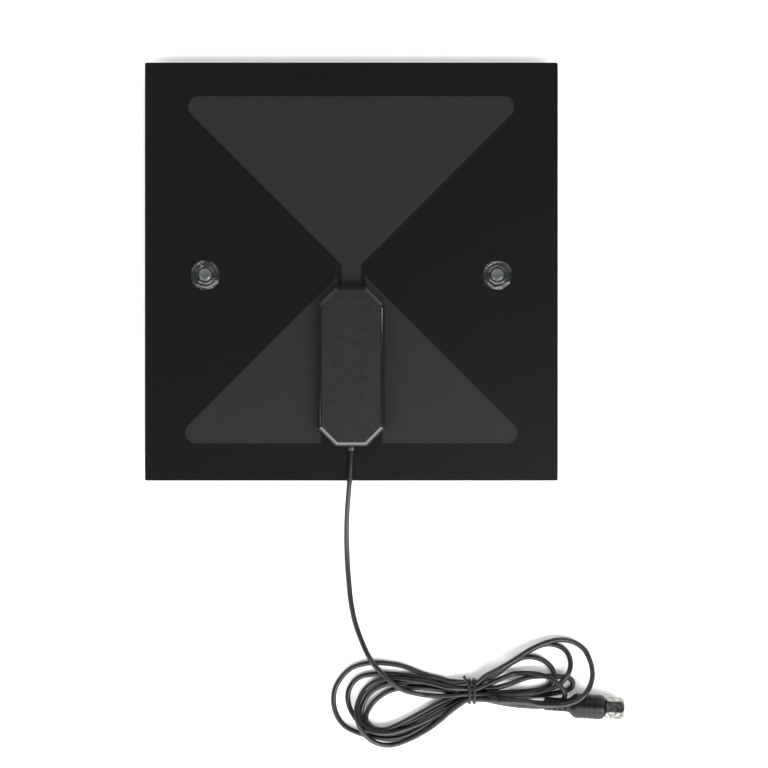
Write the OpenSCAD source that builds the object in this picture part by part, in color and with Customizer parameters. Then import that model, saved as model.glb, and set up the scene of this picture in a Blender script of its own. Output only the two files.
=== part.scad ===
// Flat indoor television antenna.
// A film sheet carries two foil elements. A two-piece housing clamped through the sheet holds the
// matching board, and a thin coaxial cable with a screw-on plug leaves its lower end.
// The antenna lies flat: +Z is the sheet's front, +Y its top edge, and Z = 0 the table under it.

/* [Film sheet] */
// Width of the sheet
sheet_w = 240; // [220:1:300]
// Height of the sheet
sheet_l = 243; // [220:1:300]
// Corner radius of the sheet
sheet_r = 1; // [0.5:0.5:6]
// Thickness of the opaque back film
back_film_t = 0.4; // [0.3:0.05:0.8]
// Thickness of the smoked front film over the foil
front_film_t = 0.2; // [0.15:0.05:0.4]

/* [Foil elements] */
// Thickness of the foil
foil_t = 0.1; // [0.08:0.02:0.2]
// Height of the upper element's top edge above the sheet's centre
upper_top = 102; // [94:1:106]
// Width of the upper element's neck
neck_w = 11.2; // [8:0.2:14]
// Height above the sheet's centre where the neck widens
neck_top = 4; // [0:0.5:8]
// Gap between the neck and the tip of each lower wing
wing_gap = 2.5; // [1.5:0.1:4]
// Depth of the lower wings' tips below the sheet's centre
wing_tip = 2.6; // [1:0.2:5]
// Depth of the lower wings' bottom edge below the sheet's centre
wing_bottom = 99.8; // [94:0.2:106]
// Width of the notch between the wings below the housing
notch_w = 35.8; // [30:0.2:37]
// Width of the strip that joins the wings behind the housing
bridge_w = 10; // [6:0.5:14]
// Radius of the elements' outer corners
element_r = 6.2; // [3:0.2:10]

/* [Housing] */
// Width of the housing
housing_w = 38.5; // [36:0.5:46]
// Length of the housing
housing_l = 92.7; // [90:0.1:110]
// Distance of the housing's centre below the sheet's centre
housing_drop = 55; // [53:1:58]
// Leg of the cut corners
corner_leg = 10.3; // [8:0.1:12]
// Height of the front cover above the sheet
cover_h = 8; // [7.5:0.1:12]
// Width of the sloping edge round the cover's face
bevel_run = 2.3; // [1.5:0.1:3]
// Height of the sloping edge
bevel_rise = 2; // [1:0.1:3]
// Depth of the rear shell behind the sheet
base_h = 6.4; // [5:0.1:6.6]
// Width and height of the rear shell's edge bevel
base_bevel = 1.4; // [0.6:0.1:2]
// Wall thickness of both shells
wall = 1.6; // [1.2:0.1:2]

/* [Screws and bosses] */
// Distance between the screws across the housing
screw_span_x = 27; // [24:0.5:28]
// Distance between the screws along the housing
screw_span_y = 68; // [66:0.5:70]
// Outer diameter of the cover's screw bosses
boss_d = 6; // [5:0.2:6.4]
// Diameter of the screw's shank
screw_d = 2.2; // [1.8:0.1:2.6]
// Diameter of the screw's head
screw_head_d = 4.8; // [4.2:0.1:5.2]
// Height of the screw's head
screw_head_h = 1.5; // [1.2:0.1:1.8]
// Depth that the screw bites into its boss
screw_bite = 5; // [3.5:0.5:5.5]
// Depth of the screw's head below the rear face
screw_sink = 0.8; // [0.4:0.1:1.2]

/* [Matching board] */
// Width of the board
board_w = 30; // [26:0.5:32]
// Length of the board
board_l = 58; // [56:0.5:59]
// Thickness of the board
board_t = 1.2; // [0.8:0.1:1.6]
// Spacing of the locating pins across the board
pin_span_x = 20; // [16:0.5:22]
// Spacing of the locating pins along the board
pin_span_y = 50; // [44:0.5:51]
// Diameter of the locating pins
locator_d = 2; // [1.6:0.1:2.4]
// Diameter of the posts that press on the board
post_d = 4.2; // [3.6:0.1:5]
// Diameter of the contact rivets' shank
rivet_d = 2; // [1.6:0.1:2.6]
// Diameter of the contact rivets' heads
rivet_head_d = 4; // [3.4:0.1:5]
// Distance of the upper contact below the board's top edge
contact_inset = 4; // [3:0.5:6]
// Length of the ferrite core
core_l = 7; // [5:0.5:9]
// Width of the ferrite core
core_w = 7; // [6.4:0.1:8]
// Height of the ferrite core
core_h = 3.8; // [3:0.1:4]
// Diameter of the core's two holes
core_hole_d = 1.9; // [1.7:0.1:2]
// Diameter of the winding's wire
wire_d = 0.36; // [0.3:0.02:0.4]
// Length of each chip capacitor
chip_l = 3.2; // [2:0.1:4]

/* [Suction cups] */
// Distance of each cup's centre from the sheet's side edge
cup_inset = 35.2; // [28:0.2:40]
// Distance of the cups below the sheet's centre
cup_drop = 2; // [0:0.5:6]
// Height of the cup behind the sheet
cup_h = 7; // [6.8:0.1:9]
// Diameter of the cup's rim
cup_d = 30; // [24:0.5:36]
// Width of the rim's flat edge
rim_w = 0.8; // [0.5:0.1:1.5]
// Depth of the hollow
cup_hollow = 3; // [2:0.1:4]
// Diameter of the neck through the sheet
cup_neck_d = 6.4; // [5:0.2:8]
// Diameter of the knob in front of the sheet
knob_d = 17; // [14:0.2:20]
// Height of the knob
knob_h = 4.2; // [3.4:0.1:6]

/* [Coaxial cable] */
// Diameter of the cable's jacket
cable_d = 3; // [2.6:0.1:3.4]
// Diameter of the braid
braid_d = 2.3; // [2:0.1:2.4]
// Diameter of the insulation round the inner wire
dielectric_d = 1.6; // [1.2:0.1:1.8]
// Diameter of the inner wire
core_wire_d = 0.5; // [0.4:0.05:0.7]
// Wall of the grommet in the housing's end
grommet_wall = 0.9; // [0.7:0.1:1.2]
// Length of the grommet outside the housing
grommet_out = 2.65; // [1.5:0.05:5]
// Thickness of the clamp strap on the board
clamp_t = 0.4; // [0.3:0.1:0.6]

/* [Hank and tie] */
// Height of the hank
hank_h = 8.2; // [7:0.1:10]
// Width of the bundle at the tie
bundle_w = 13.4; // [11:0.2:16]
// Rounding of the bundle's corners inside the tie
bundle_r = 2.5; // [1.5:0.1:3.5]
// Thickness of the twist tie
tie_t = 0.7; // [0.5:0.1:1.2]
// Width of each wrap of the tie
tie_w = 1.9; // [1.4:0.1:2.6]

/* [Plug] */
// Length of the slotted strain relief
relief_l = 13.4; // [11:0.2:18]
// Diameter of the strain relief
relief_d = 7.8; // [6.6:0.1:9]
// Width of the relief's slots
slot_w = 1.1; // [0.8:0.1:1.4]
// Length of the moulded grip
grip_l = 21.6; // [19:0.2:26]
// Diameter of the moulded grip
grip_d = 14.4; // [14:0.1:17]
// Depth of the grip's grooves
groove_depth = 0.4; // [0.3:0.1:0.8]
// Distance across the coupling nut's flats
nut_af = 11; // [10.8:0.1:12]
// Length of the coupling nut
nut_l = 11.1; // [9:0.1:13]
// Bore of the coupling nut's thread
nut_bore_d = 8.8; // [8.6:0.05:9.1]
// Diameter of the neck that the nut turns on
neck_d = 6.8; // [6.2:0.1:7.2]
// Radial play between the nut and its neck
nut_play = 0.05; // [0.02:0.01:0.08]
// End play of the nut on its neck
nut_end_play = 0.3; // [0.2:0.05:0.5]
// Diameter of the plug's insulator
insulator_d = 5.2; // [4.4:0.1:5.6]
// Diameter of the centre pin
pin_d = 1; // [0.8:0.05:1.2]
// Depth of the pin's tip behind the nut's front
pin_setback = 0.4; // [0.2:0.1:2]

/* [Hidden] */
$fn = 48;

// Levels, from the table up
film_back_z = cup_h;
foil_z = film_back_z + back_film_t;
film_top_z = foil_z + foil_t + front_film_t;
cover_top_z = film_top_z + cover_h;
ceiling_z = cover_top_z - wall;
base_back_z = film_back_z - base_h;
board_top_z = film_top_z + board_t;
exit_z = board_top_z + cable_d / 2;

// Places along the housing
lower_contact_drop = 6;
clamp_inset = 6;
housing_y = -housing_drop;
housing_end_y = housing_y - housing_l / 2;
board_top_y = housing_y + board_l / 2;
upper_contact_y = board_top_y - contact_inset;
lower_contact_y = housing_y - lower_contact_drop;
balun_y = (upper_contact_y + lower_contact_y) / 2;
clamp_y = housing_y - board_l / 2 + clamp_inset;
clamp_w = 3;
jacket_end_y = clamp_y + clamp_w / 2 + 1;
strip_l = 3;
grommet_end_y = housing_end_y - grommet_out;
grommet_neck_d = cable_d + 2 * grommet_wall;
grommet_flange_t = 1;
winding_z = board_top_z + core_h / 2;
screw_seat_z = base_back_z + screw_sink + screw_head_h;
rib_t = 1;
rivet_head_t = 0.3;

// Clearances
film_hole_gap = 0.2;
screw_hole_rest = 0.5;
locator_gap = 0.05;
screw_gap = 0.2;
flange_gap = 0.05;
grommet_flange_r = exit_z - film_top_z - flange_gap;

signs = [-1, 1];
cup_x = sheet_w / 2 - cup_inset;
screw_places = [for (sx = signs, sy = signs)
    [sx * screw_span_x / 2, housing_y + sy * screw_span_y / 2]];
locator_places = [for (sx = signs, sy = signs)
    [sx * pin_span_x / 2, housing_y + sy * pin_span_y / 2]];
contact_places = [[0, upper_contact_y], [0, lower_contact_y]];
cup_places = [for (sx = signs) [sx * cup_x, -cup_drop]];

// Cable: points along the middle of the loose stretch, from the grommet to the hank
lead_points = [
    [0, -104, 10.4], [-0.2, -110, 10.4], [-1, -121, 9.9], [-2, -133, 7.9], [-2.7, -145, 5.2],
    [-2.8, -157, 3], [-2.4, -169, 1.9], [-1.6, -180, 1.5], [-0.4, -192, 1.5], [1.8, -203.5, 1.5],
    [4.6, -212, 1.7], [8, -220, 2.4], [11.8, -227, 3.6]
];
// Cable: points along the middle of the stretch that enters the plug
tail_points = [[101, -249.4, 4.8], [104, -250.1, 5.9], [107.5, -250.7, 6.9], [112, -251.05, 7.2]];

// Hank and plug on the table
tie_place = [70, -244.1];
tie_wraps = [-1.4, 1.4];
tie_tail = 6.4;
tie_end_d = 1.6;
tie_end_turn = 30;
left_lobe = [13, -253];
left_lobe_r = 25;
right_lobe = [121.5, -234.4];
right_lobe_r = 20;
plug_place = [112, -251.05];
plug_turn = -3.8;
plug_room = 8;

// Stations along the plug, from the rear end of its strain relief
plug_z = grip_d / 2;
grip_end = relief_l + grip_l;
nut_rear = grip_end + nut_end_play;
nut_web = 1.8;
nut_face_inset = 0.4;
nut_chamfer = 1.1;
flange_at = nut_rear + nut_web + nut_end_play;
flange_t = 1.2;
sleeve_front = flange_at + flange_t;
nut_front = nut_rear + nut_l;
pin_tip = nut_front - pin_setback;
sleeve_grip = 11;
sleeve_rear = grip_end - sleeve_grip;
sleeve_d = 8.4;
flange_d = nut_bore_d - 0.5;
pin_root_d = pin_d + 0.5;
pin_chamfer = 0.25;
shoulder_l = 5;
nose_l = 3.4;
nose_drop = 1.6;
groove_w = 0.7;
groove_start = 9.2;
groove_pitch = 2.9;
groove_places = [for (i = [0:2]) relief_l + groove_start + groove_pitch * i];
slot_count = 4;
slot_start = 3.3;
slot_pitch = 2.9;

// Outline helpers
function unit(v) = v / norm(v);

// Points of a corner at b between a and c, rounded to radius r in n steps
function round_corner(a, b, c, r, n = 10) =
    let (
        u = unit(a - b),
        v = unit(c - b),
        half = acos(u * v) / 2,
        middle = b + unit(u + v) * r / sin(half),
        p = b + u * r / tan(half),
        q = b + v * r / tan(half),
        start = atan2(p[1] - middle[1], p[0] - middle[0]),
        raw = atan2(q[1] - middle[1], q[0] - middle[0]) - start,
        sweep = raw > 180 ? raw - 360 : raw < -180 ? raw + 360 : raw
    )
    [for (i = [0:n]) middle + r * [cos(start + sweep * i / n), sin(start + sweep * i / n)]];

function mirrored(points) = [for (i = [len(points) - 1:-1:0]) [-points[i][0], points[i][1]]];

// Point on the smooth curve through four points, at t from the second to the third
function curve_point(a, b, c, d, t) =
    0.5 * (2 * b + (c - a) * t + (2 * a - 5 * b + 4 * c - d) * t * t + (3 * b - a - 3 * c + d) * t * t * t);

function smooth_path(points, steps) =
    let (last = len(points) - 1)
    concat(
        [for (i = [0:last - 1], s = [0:steps - 1])
            let (before = points[max(i - 1, 0)], after = points[min(i + 2, last)])
            curve_point(before, points[i], points[i + 1], after, s / steps)],
        [points[last]]
    );

function path_direction(path, i) = unit(path[min(i + 1, len(path) - 1)] - path[max(i - 1, 0)]);

// Ring of points round a path point, square to the path
function path_ring(path, i, r, sides) =
    let (
        along = path_direction(path, i),
        across = unit(cross([0, 0, 1], along)),
        up = cross(along, across)
    )
    [for (s = [0:sides - 1]) path[i] + r * (cos(360 * s / sides) * across + sin(360 * s / sides) * up)];

// Closed tube along a list of points
module swept_tube(path, d, sides = 8) {
    rings = len(path);
    points = [for (i = [0:rings - 1]) each path_ring(path, i, d / 2, sides)];
    skin = [for (i = [0:rings - 2], s = [0:sides - 1])
        let (n = (s + 1) % sides)
        [i * sides + n, i * sides + s, (i + 1) * sides + s, (i + 1) * sides + n]];
    near_end = [for (s = [0:sides - 1]) s];
    far_end = [for (s = [sides - 1:-1:0]) (rings - 1) * sides + s];
    polyhedron(points, concat([near_end], skin, [far_end]), convexity = 6);
}

module at_places(places) {
    for (p = places) translate([p[0], p[1], 0]) children();
}

// Film sheet
module sheet_outline() {
    w = sheet_w / 2;
    l = sheet_l / 2;
    corners = [[w, l], [-w, l], [-w, -l], [w, -l]];
    polygon([for (i = [0:3]) each
        round_corner(corners[(i + 3) % 4], corners[i], corners[(i + 1) % 4], sheet_r, 6)]);
}

module film_holes() {
    at_places(screw_places) translate([0, 0, film_back_z - 1])
        cylinder(d = boss_d + 2 * film_hole_gap, h = film_top_z - film_back_z + 2);
    at_places(cup_places) translate([0, 0, film_back_z - 1])
        cylinder(d = cup_neck_d + 2 * film_hole_gap, h = film_top_z - film_back_z + 2);
}

module contact_holes(z, h) {
    at_places(contact_places) translate([0, 0, z]) cylinder(d = rivet_d, h = h);
}

module back_film() {
    color([0.06, 0.06, 0.065]) difference() {
        translate([0, 0, film_back_z]) linear_extrude(back_film_t) sheet_outline();
        film_holes();
        contact_holes(film_back_z - 1, back_film_t + 2);
    }
}

module front_film() {
    color([0.12, 0.12, 0.125]) difference() {
        translate([0, 0, foil_z]) linear_extrude(foil_t + front_film_t) sheet_outline();
        translate([0, 0, foil_z - 1]) linear_extrude(foil_t + 1) upper_outline();
        translate([0, 0, foil_z - 1]) linear_extrude(foil_t + 1) lower_outline();
        film_holes();
        contact_holes(foil_z - 1, foil_t + front_film_t + 2);
    }
}

// Foil elements
module upper_outline() {
    n = neck_w / 2;
    corner = n + upper_top - neck_top;
    foot = upper_contact_y - rivet_head_d;
    right = concat(
        [[n, foot], [n, neck_top]],
        round_corner([n, neck_top], [corner, upper_top], [-corner, upper_top], element_r)
    );
    polygon(concat(right, mirrored(right)));
}

module lower_outline() {
    tip = neck_w / 2 + wing_gap;
    inner = notch_w / 2;
    corner = tip + wing_bottom - wing_tip;
    // The inner edge steps out behind the housing's cut corner
    step_y = housing_y + housing_l / 2 - corner_leg;
    right = concat(
        [[inner, lower_contact_y - bridge_w / 2], [inner, -wing_bottom]],
        round_corner([inner, -wing_bottom], [corner, -wing_bottom], [tip, -wing_tip], element_r),
        [[tip, -wing_tip], [tip, step_y], [inner, step_y - inner + tip]],
        [[inner, lower_contact_y + bridge_w / 2]]
    );
    left = mirrored(right);
    polygon(concat(right, left));
}

module upper_element() {
    color([0.32, 0.32, 0.33]) difference() {
        translate([0, 0, foil_z]) linear_extrude(foil_t) upper_outline();
        contact_holes(foil_z - 1, foil_t + 2);
    }
}

module lower_element() {
    color([0.32, 0.32, 0.33]) difference() {
        translate([0, 0, foil_z]) linear_extrude(foil_t) lower_outline();
        film_holes();
        contact_holes(foil_z - 1, foil_t + 2);
    }
}

// Housing
module housing_outline(inset = 0) {
    w = housing_w / 2 - inset;
    l = housing_l / 2 - inset;
    // Moving a cut corner in by the inset shortens its legs by this much
    c = corner_leg - inset * (2 - sqrt(2));
    polygon([
        [w, -l + c], [w, l - c], [w - c, l], [-w + c, l],
        [-w, l - c], [-w, -l + c], [-w + c, -l], [w - c, -l]
    ]);
}

module housing_slab(inset, z, h) {
    translate([0, housing_y, z]) linear_extrude(h) housing_outline(inset);
}

// Front cover's outer form, or its hollow when it is moved in by the wall
module cover_form(inset) {
    hull() {
        housing_slab(inset, film_top_z, cover_h - bevel_rise - inset);
        housing_slab(inset + bevel_run, film_top_z, cover_h - inset);
    }
}

module base_form(inset) {
    hull() {
        housing_slab(inset, base_back_z + base_bevel + inset, base_h - base_bevel - inset);
        housing_slab(inset + base_bevel, base_back_z + inset, base_h - inset);
    }
}

// Rib that ties a boss to the side wall beside it
module boss_rib(place, z, h) {
    reach = housing_w / 2 - wall / 2 - abs(place[0]);
    translate([place[0] > 0 ? place[0] : place[0] - reach, place[1] - rib_t / 2, z]) cube([reach, rib_t, h]);
}

module housing_cover() {
    color([0.10, 0.10, 0.105]) difference() {
        union() {
            difference() {
                cover_form(0);
                cover_form(wall);
                housing_slab(wall, film_top_z - wall, 2 * wall);
            }
            at_places(screw_places) translate([0, 0, film_back_z])
                cylinder(d = boss_d, h = ceiling_z - film_back_z + wall / 2);
            at_places(locator_places) translate([0, 0, board_top_z])
                cylinder(d = post_d, h = ceiling_z - board_top_z + wall / 2);
            at_places(locator_places) translate([0, 0, film_top_z])
                cylinder(d = locator_d, h = ceiling_z - film_top_z);
            for (p = screw_places) boss_rib(p, board_top_z, ceiling_z - board_top_z + wall / 2);
        }
        at_places(screw_places) translate([0, 0, film_back_z - 1])
            cylinder(d = screw_d, h = 1 + screw_bite + screw_hole_rest);
        translate([0, housing_end_y - 1, exit_z]) rotate([-90, 0, 0])
            cylinder(d = grommet_neck_d, h = wall + 2);
        // Pocket for the grommet's flange, behind the sloping edge
        translate([0, housing_end_y + wall, exit_z]) rotate([-90, 0, 0])
            cylinder(r = grommet_flange_r + flange_gap, h = grommet_flange_t + bevel_run);
    }
}

module housing_base() {
    color([0.09, 0.09, 0.095]) difference() {
        union() {
            difference() {
                base_form(0);
                base_form(wall);
                housing_slab(wall, film_back_z - wall, 2 * wall);
            }
            at_places(screw_places) translate([0, 0, base_back_z + wall / 2])
                cylinder(d = boss_d + 1, h = base_h - wall / 2);
            for (i = [-1:1]) translate([0, housing_y + i * housing_l / 5, base_back_z + wall / 2])
                translate([wall / 2 - housing_w / 2, -rib_t / 2, 0])
                    cube([housing_w - wall, rib_t, base_h / 2]);
        }
        at_places(screw_places) translate([0, 0, base_back_z - 1])
            cylinder(d = screw_head_d + 2 * screw_gap, h = screw_sink + screw_head_h + 1);
        at_places(screw_places) translate([0, 0, base_back_z])
            cylinder(d = screw_d + 2 * screw_gap, h = base_h + 1);
    }
}

module housing_screw() {
    cross_w = screw_head_d / 6;
    cross_l = screw_head_d * 0.6;
    cross_depth = screw_head_h / 2;
    difference() {
        union() {
            rotate_extrude() polygon([
                [0, 0], [screw_head_d / 2 - 0.5, 0], [screw_head_d / 2, 0.5],
                [screw_head_d / 2, screw_head_h], [0, screw_head_h]
            ]);
            cylinder(d = screw_d, h = film_back_z + screw_bite - screw_seat_z + screw_head_h);
        }
        for (a = [0, 90]) rotate(a) translate([-cross_l / 2, -cross_w / 2, -1])
            cube([cross_l, cross_w, cross_depth + 1]);
    }
}

module housing_screws() {
    color([0.5, 0.5, 0.52])
        at_places(screw_places) translate([0, 0, screw_seat_z - screw_head_h]) housing_screw();
}

// Matching board
module circuit_board() {
    color([0.10, 0.30, 0.16]) difference() {
        translate([-board_w / 2, housing_y - board_l / 2, film_top_z]) cube([board_w, board_l, board_t]);
        at_places(locator_places) translate([0, 0, film_top_z - 1])
            cylinder(d = locator_d + 2 * locator_gap, h = board_t + 2);
        contact_holes(film_top_z - 1, board_t + 2);
    }
}

// Hollow rivets that press the foil against the board
module foil_contacts() {
    shank = board_top_z - film_back_z;
    color([0.80, 0.68, 0.38]) at_places(contact_places) translate([0, 0, film_back_z]) difference() {
        union() {
            cylinder(d = rivet_d, h = shank);
            translate([0, 0, -rivet_head_t]) cylinder(d = rivet_head_d, h = rivet_head_t);
            translate([0, 0, shank]) cylinder(d = rivet_head_d, h = rivet_head_t);
        }
        translate([0, 0, -1]) cylinder(d = rivet_d / 2, h = shank + 2);
    }
}

module balun_core() {
    color([0.20, 0.19, 0.19]) difference() {
        translate([-core_w / 2, balun_y - core_l / 2, board_top_z]) cube([core_w, core_l, core_h]);
        for (side = [-1, 1]) translate([side * core_w / 4, balun_y - core_l / 2 - 1, winding_z])
            rotate([-90, 0, 0]) cylinder(d = core_hole_d, h = core_l + 2);
    }
}

// Turns of wire through both holes of the core, nested one inside the other
module balun_winding() {
    color([0.72, 0.36, 0.16]) for (turn = [-1:1]) {
        half = core_w / 4 + turn * wire_d * 1.25;
        translate([0, balun_y, winding_z]) union() {
            for (side = [-1, 1]) translate([side * half, -core_l / 2, 0])
                rotate([-90, 0, 0]) cylinder(d = wire_d, h = core_l, $fn = 16);
            for (end = [0, 180]) rotate(end) translate([0, core_l / 2, 0])
                rotate_extrude(angle = 180, $fn = 32) translate([half, 0]) circle(d = wire_d, $fn = 16);
        }
    }
}

module chip_capacitors() {
    color([0.62, 0.52, 0.40]) for (side = [-1, 1])
        translate([side * board_w / 4 - chip_l / 4, lower_contact_y + core_l / 2, board_top_z])
            cube([chip_l / 2, chip_l, chip_l / 3]);
}

// Strap over the cable, with a foot on the board at each side
module cable_clamp() {
    inner = cable_d / 2;
    outer = inner + clamp_t;
    foot = 2;
    color([0.72, 0.73, 0.74]) translate([0, clamp_y + clamp_w / 2, board_top_z]) rotate([90, 0, 0])
        linear_extrude(clamp_w) difference() {
            union() {
                translate([0, inner]) circle(r = outer);
                translate([-outer, 0]) square([2 * outer, inner]);
                translate([-outer - foot, 0]) square([2 * (outer + foot), clamp_t]);
            }
            translate([0, inner]) circle(r = inner);
            translate([-inner, -clamp_t - 1]) square([cable_d, inner + clamp_t + 1]);
        }
}

// Tube along the cable's straight end inside the housing, from the grommet to a stripped end
module cable_layer(outer_d, inner_d, end_y) {
    translate([0, grommet_end_y, exit_z]) rotate([-90, 0, 0]) difference() {
        cylinder(d = outer_d, h = end_y - grommet_end_y);
        if (inner_d > 0) translate([0, 0, -1]) cylinder(d = inner_d, h = end_y - grommet_end_y + 2);
    }
}

module coax_jacket_end() {
    color([0.08, 0.08, 0.08]) cable_layer(cable_d, braid_d, jacket_end_y);
}

module coax_braid_end() {
    color([0.75, 0.72, 0.68]) cable_layer(braid_d, dielectric_d, jacket_end_y + strip_l);
}

module coax_dielectric_end() {
    color([0.92, 0.92, 0.88]) cable_layer(dielectric_d, core_wire_d, jacket_end_y + 2 * strip_l);
}

module coax_core_end() {
    tip_y = jacket_end_y + 3 * strip_l;
    color([0.75, 0.42, 0.20]) union() {
        cable_layer(core_wire_d, 0, tip_y);
        translate([0, tip_y, board_top_z]) cylinder(d = core_wire_d, h = exit_z - board_top_z);
        translate([0, tip_y, exit_z]) sphere(d = core_wire_d);
    }
}

// Grommet: a flange inside the wall, a neck through it and a short taper outside
module cable_grommet() {
    inner = cable_d / 2;
    neck = grommet_neck_d / 2;
    inside = -wall - grommet_flange_t;
    color([0.07, 0.07, 0.07]) translate([0, housing_end_y, exit_z]) rotate([90, 0, 0])
        rotate_extrude() polygon([
            [inner, inside], [grommet_flange_r, inside], [grommet_flange_r, -wall], [neck, -wall],
            [neck, 0.4 * grommet_out], [inner + 0.4 * grommet_wall, grommet_out], [inner, grommet_out]
        ]);
}

// Suction cups
function cup_dome() =
    let (rim = cup_d / 2, shoulder = cup_neck_d / 2 + 2, low = 0.5)
    [for (i = [0:10]) let (t = i / 10) [rim - (rim - shoulder) * t, low + (film_back_z - low) * sin(90 * t)]];

// The knob's face: three ridges, each higher than the one round it, and a dimple in the middle
function knob_face() =
    let (
        r = knob_d / 2,
        shares = [[1, 0.16], [0.98, 0.26], [0.91, 0.29], [0.81, 0.2], [0.74, 0.46], [0.67, 0.54],
            [0.59, 0.49], [0.54, 0.52], [0.47, 0.82], [0.4, 0.96], [0.3, 1], [0.15, 0.93], [0, 0.9]]
    )
    smooth_path([for (s = shares) [s[0] * r, film_top_z + s[1] * knob_h]], 3);

function cup_hollow_line() =
    let (mouth = cup_d / 2 - rim_w)
    [for (i = [0:8]) let (r = mouth * i / 8) [r, cup_hollow * (1 - pow(r / mouth, 2))]];

module suction_cup(side) {
    neck = cup_neck_d / 2;
    color([0.80, 0.82, 0.84, 0.6]) translate([side * cup_x, -cup_drop, 0]) rotate_extrude() polygon(concat(
        [[cup_d / 2, 0]],
        cup_dome(),
        [[neck, film_back_z], [neck, film_top_z], [knob_d / 2, film_top_z]],
        knob_face(),
        cup_hollow_line()
    ));
}

module suction_cup_left() {
    suction_cup(-1);
}

module suction_cup_right() {
    suction_cup(1);
}

// Cable outside the housing
module coax_lead() {
    color([0.08, 0.08, 0.08]) swept_tube(smooth_path(lead_points, 2), cable_d);
}

module coax_tail() {
    color([0.08, 0.08, 0.08]) swept_tube(smooth_path(tail_points, 2), cable_d);
}

module bundle_circle() {
    translate(tie_place) circle(d = bundle_w);
}

// Outer shape of the turns on both sides of the tie
module coax_hank() {
    color([0.09, 0.09, 0.09]) difference() {
        linear_extrude(hank_h) union() {
            hull() {
                translate(left_lobe) circle(r = left_lobe_r);
                bundle_circle();
            }
            hull() {
                translate(right_lobe) circle(r = right_lobe_r);
                bundle_circle();
            }
        }
        at_wraps() difference() {
            translate([0, hank_h / 2]) square(2 * (bundle_w + hank_h), center = true);
            bundle_section(0);
        }
        on_plug_axis() translate([0, 0, -plug_room]) cylinder(d = relief_d + 1, h = relief_l + plug_room + 1);
        on_plug_axis() translate([-plug_z - 1, -relief_d / 2 - 0.5, -plug_room])
            cube([plug_z * 2 + 2, relief_d + 1, relief_l + plug_room + 1]);
        on_plug_axis() translate([-plug_z - 1, -grip_d / 2 - 0.5, relief_l - 0.5])
            cube([plug_z * 2 + 2, grip_d + 1, nut_front]);
    }
}

// Section of the bundle inside the tie, or the tie's outer outline when it grows by the tie's thickness
module bundle_section(grow) {
    w = bundle_w / 2 + grow;
    low = tie_t - grow;
    high = tie_t + hank_h + grow;
    corners = [[w, high], [-w, high], [-w, low], [w, low]];
    polygon([for (i = [0:3]) each
        round_corner(corners[(i + 3) % 4], corners[i], corners[(i + 1) % 4], bundle_r + grow, 6)]);
}

module at_wraps() {
    for (x = tie_wraps) translate([tie_place[0] + x - tie_w / 2, tie_place[1], 0])
        rotate([90, 0, 90]) linear_extrude(tie_w) children();
}

module twist_tie() {
    color([0.06, 0.06, 0.06]) union() {
        at_wraps() difference() {
            bundle_section(tie_t);
            bundle_section(0);
        }
        // Twisted end
        translate([tie_place[0] + tie_wraps[0], tie_place[1] + bundle_w / 4, hank_h + 1.5 * tie_t])
            rotate([-84, 0, tie_end_turn]) cylinder(d = tie_end_d, h = tie_tail);
        translate([tie_place[0] + tie_wraps[0], tie_place[1] + bundle_w / 4 - 1, hank_h + tie_t])
            cube([tie_wraps[1] - tie_wraps[0], 2, 1.5 * tie_t]);
    }
}

// Plug
module on_plug_axis() {
    translate([plug_place[0], plug_place[1], plug_z]) rotate([0, 0, plug_turn]) rotate([0, 90, 0]) children();
}

// Moulded grip with its slotted strain relief, in one piece over the sleeve and the cable
module plug_boot() {
    r = grip_d / 2;
    relief = relief_d / 2;
    color([0.07, 0.07, 0.07]) on_plug_axis() difference() {
        rotate_extrude() polygon(concat(
            [[0, 0], [relief - 0.6, 0], [relief, 0.6], [relief, relief_l]],
            [for (i = [1:8])
                [r - (r - relief) * pow(cos(90 * i / 8), 1.4), relief_l + shoulder_l * pow(i / 8, 1.2)]],
            [for (i = [0:6])
                [r - nose_drop * (1 - cos(90 * i / 6)), grip_end - nose_l * (1 - sin(90 * i / 6))]],
            [[0, grip_end]]
        ));
        translate([0, 0, sleeve_rear]) cylinder(d = sleeve_d, h = grip_end - sleeve_rear + 1);
        for (z = groove_places) translate([0, 0, z]) rotate_extrude()
            translate([r - groove_depth, -groove_w / 2]) square([2 * groove_depth + 1, groove_w]);
        for (i = [0:slot_count - 1]) translate([0, 0, slot_start + i * slot_pitch])
            rotate(90) relief_slot();
    }
}

// Pair of slots on opposite sides of the relief, with a web between them at each side
module relief_slot() {
    core = cable_d / 2 + 0.7;
    web = 0.6 * relief_d;
    difference() {
        translate([-relief_d, -relief_d, -slot_w / 2]) cube([2 * relief_d, 2 * relief_d, slot_w]);
        translate([0, 0, -slot_w]) cylinder(r = core, h = 2 * slot_w);
        translate([-relief_d - 1, -web / 2, -slot_w]) cube([2 * relief_d + 2, web, 2 * slot_w]);
    }
}

module plug_sleeve() {
    bore = insulator_d / 2;
    color([0.74, 0.74, 0.75]) on_plug_axis() rotate_extrude() polygon([
        [bore, sleeve_rear], [sleeve_d / 2, sleeve_rear], [sleeve_d / 2, grip_end], [neck_d / 2, grip_end],
        [neck_d / 2, flange_at], [flange_d / 2, flange_at], [flange_d / 2, sleeve_front], [bore, sleeve_front]
    ]);
}

module plug_insulator() {
    color([0.90, 0.90, 0.87]) on_plug_axis() translate([0, 0, sleeve_rear]) difference() {
        cylinder(d = insulator_d, h = sleeve_front - sleeve_rear);
        translate([0, 0, -1]) cylinder(d = pin_root_d, h = sleeve_front - sleeve_rear + 2);
    }
}

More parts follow.
